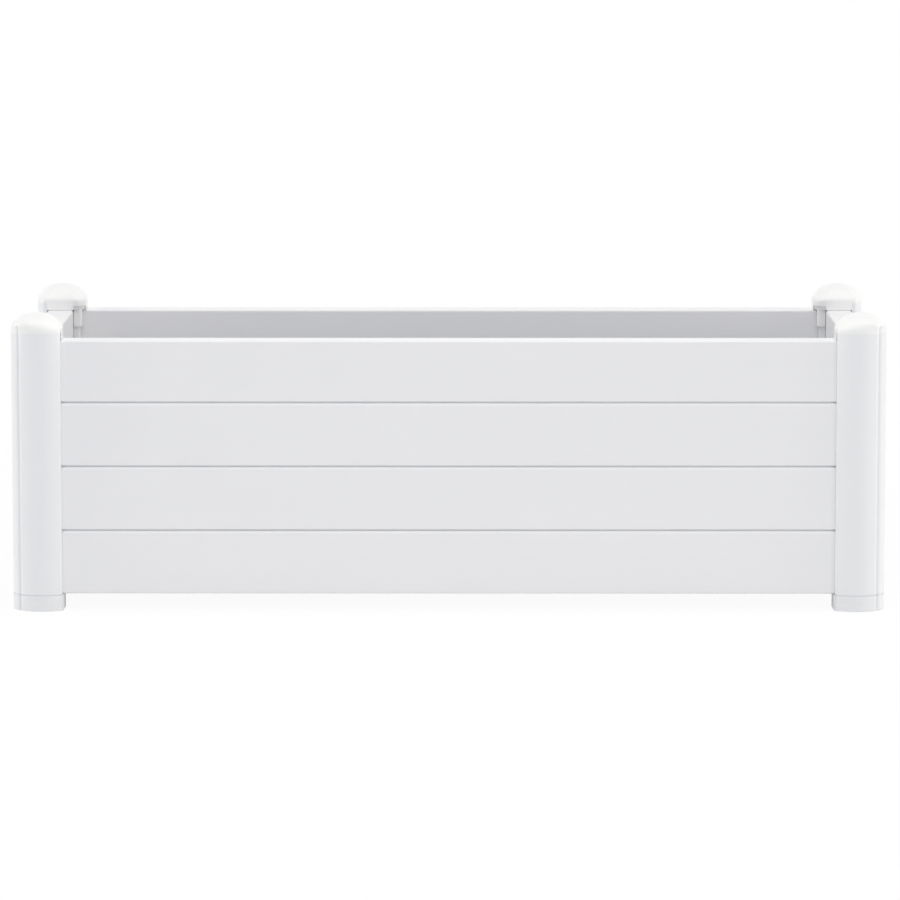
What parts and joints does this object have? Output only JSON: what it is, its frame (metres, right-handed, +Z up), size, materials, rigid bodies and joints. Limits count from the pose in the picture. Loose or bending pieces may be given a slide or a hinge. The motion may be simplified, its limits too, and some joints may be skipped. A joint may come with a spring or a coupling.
{
  "type": "raised garden bed",
  "caption": "Low rectangular planter: stacked hollow boards between rounded corner posts with domed caps and feet, over a drained floor.",
  "frame": {"origin": "on the ground, under the middle of the bed", "axes": "+X along the bed's length to the right, +Y from front to back, +Z up"},
  "size_m": [1, 0.43, 0.341],
  "materials": {
    "post_plastic": "extruded polypropylene, satin",
    "moulded_plastic": "injection moulded polypropylene, satin",
    "board_plastic": "extruded polypropylene, satin, faint lines along the board",
    "floor_plastic": "injection moulded polypropylene, matt"
  },
  "bodies": {
    "root": {"post_front_left": "post_plastic", "post_front_right": "post_plastic", "post_back_right": "post_plastic", "post_back_left": "post_plastic", "cap_front_left": "moulded_plastic", "cap_front_right": "moulded_plastic", "cap_back_right": "moulded_plastic", "cap_back_left": "moulded_plastic", "foot_front_left": "moulded_plastic", "foot_front_right": "moulded_plastic", "foot_back_right": "moulded_plastic", "foot_back_left": "moulded_plastic", "front_board_1": "board_plastic", "front_board_2": "board_plastic", "front_board_3": "board_plastic", "front_board_4": "board_plastic", "back_board_1": "board_plastic", "back_board_2": "board_plastic", "back_board_3": "board_plastic", "back_board_4": "board_plastic", "left_board_1": "board_plastic", "left_board_2": "board_plastic", "left_board_3": "board_plastic", "left_board_4": "board_plastic", "right_board_1": "board_plastic", "right_board_2": "board_plastic", "right_board_3": "board_plastic", "right_board_4": "board_plastic", "floor_panel_1": "floor_plastic", "floor_panel_2": "floor_plastic", "floor_panel_3": "floor_plastic", "floor_panel_4": "floor_plastic"}
  },
  "joints": []
}
